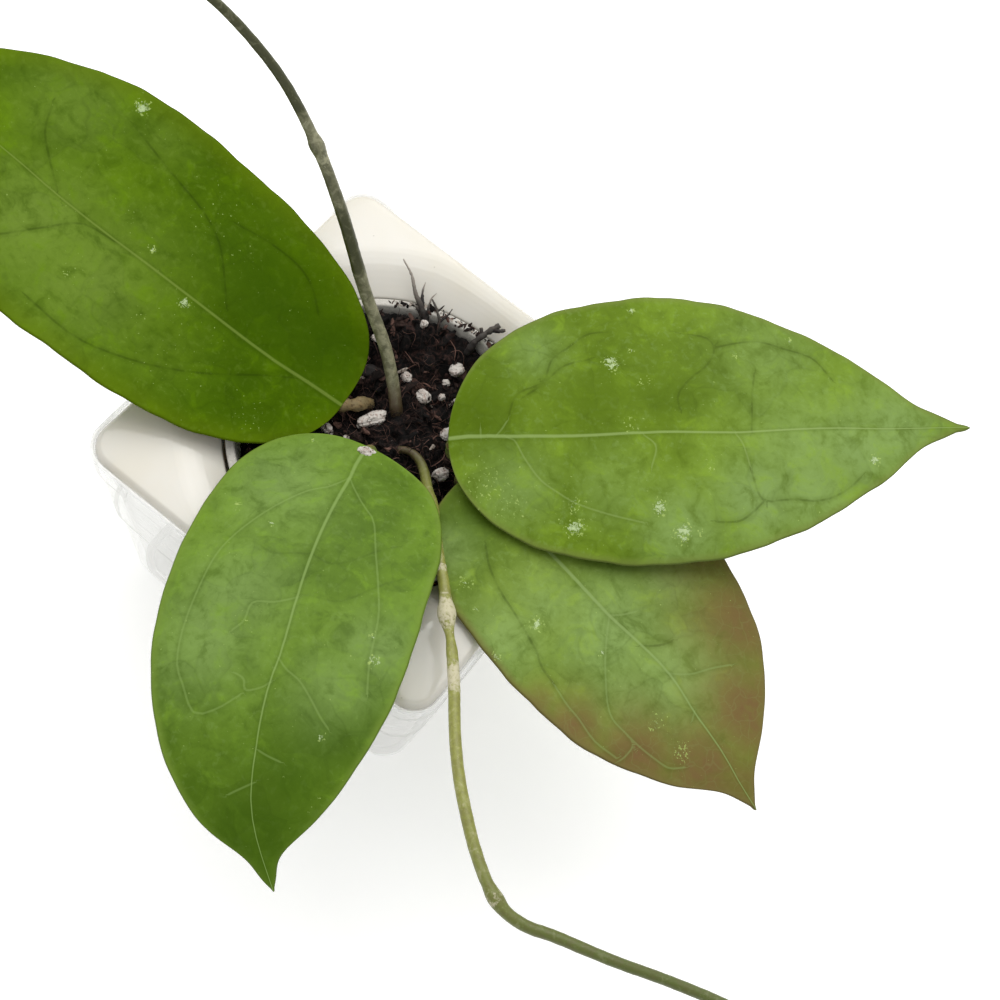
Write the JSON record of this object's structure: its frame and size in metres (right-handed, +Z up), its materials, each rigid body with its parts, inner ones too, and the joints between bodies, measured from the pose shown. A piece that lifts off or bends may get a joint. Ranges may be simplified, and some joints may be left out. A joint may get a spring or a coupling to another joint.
{
  "type": "potted hoya plant",
  "caption": "Young hoya vine with broad leathery leaves and two arching stems, growing in a clear square container with a cream drop-in insert.",
  "frame": {"origin": "centre of the clear container's flat underside", "axes": "+Z up out of the soil; X and Y run along the square container's sides; the pot's front is at -Y"},
  "size_m": [0.2768, 0.1893, 0.1569],
  "materials": {
    "clear_plastic": "clear moulded plastic, glossy, slightly scuffed",
    "cream_plastic": "glossy cream moulded plastic",
    "translucent_plastic": "thin milky translucent plastic",
    "soil": "damp fibrous bark and peat",
    "perlite": "chalky white expanded mineral grains",
    "bark": "dry fibrous bark and roots",
    "dark_leaf": "deep green waxy leaf, satin, with olive edges and fine pale flecks",
    "green_leaf": "mid green waxy leaf, satin, with a pale midrib and side veins",
    "blushed_leaf": "mid green waxy leaf with a brown-red blush at its margin and tip",
    "woody_stem": "grey-olive mottled bark, matte",
    "green_stem": "yellow-green stem with pale corky patches, satin"
  },
  "bodies": {
    "root": {"bark_chip_1": "bark", "bark_chip_2": "bark", "bark_chip_3": "bark", "bark_chip_4": "bark", "drop_in_insert": "cream_plastic", "inner_cup": "translucent_plastic", "leaf_back_left": "dark_leaf", "leaf_front_left": "green_leaf", "leaf_front_right": "blushed_leaf", "leaf_right": "green_leaf", "outer_container": "clear_plastic", "perlite_1": "perlite", "perlite_10": "perlite", "perlite_11": "perlite", "perlite_12": "perlite", "perlite_13": "perlite", "perlite_14": "perlite", "perlite_15": "perlite", "perlite_16": "perlite", "perlite_2": "perlite", "perlite_3": "perlite", "perlite_4": "perlite", "perlite_5": "perlite", "perlite_6": "perlite", "perlite_7": "perlite", "perlite_8": "perlite", "perlite_9": "perlite", "root_long": "bark", "root_short": "bark", "soil": "soil", "twig": "bark", "vine_runner": "green_stem", "vine_upright": "woody_stem"}
  },
  "joints": []
}
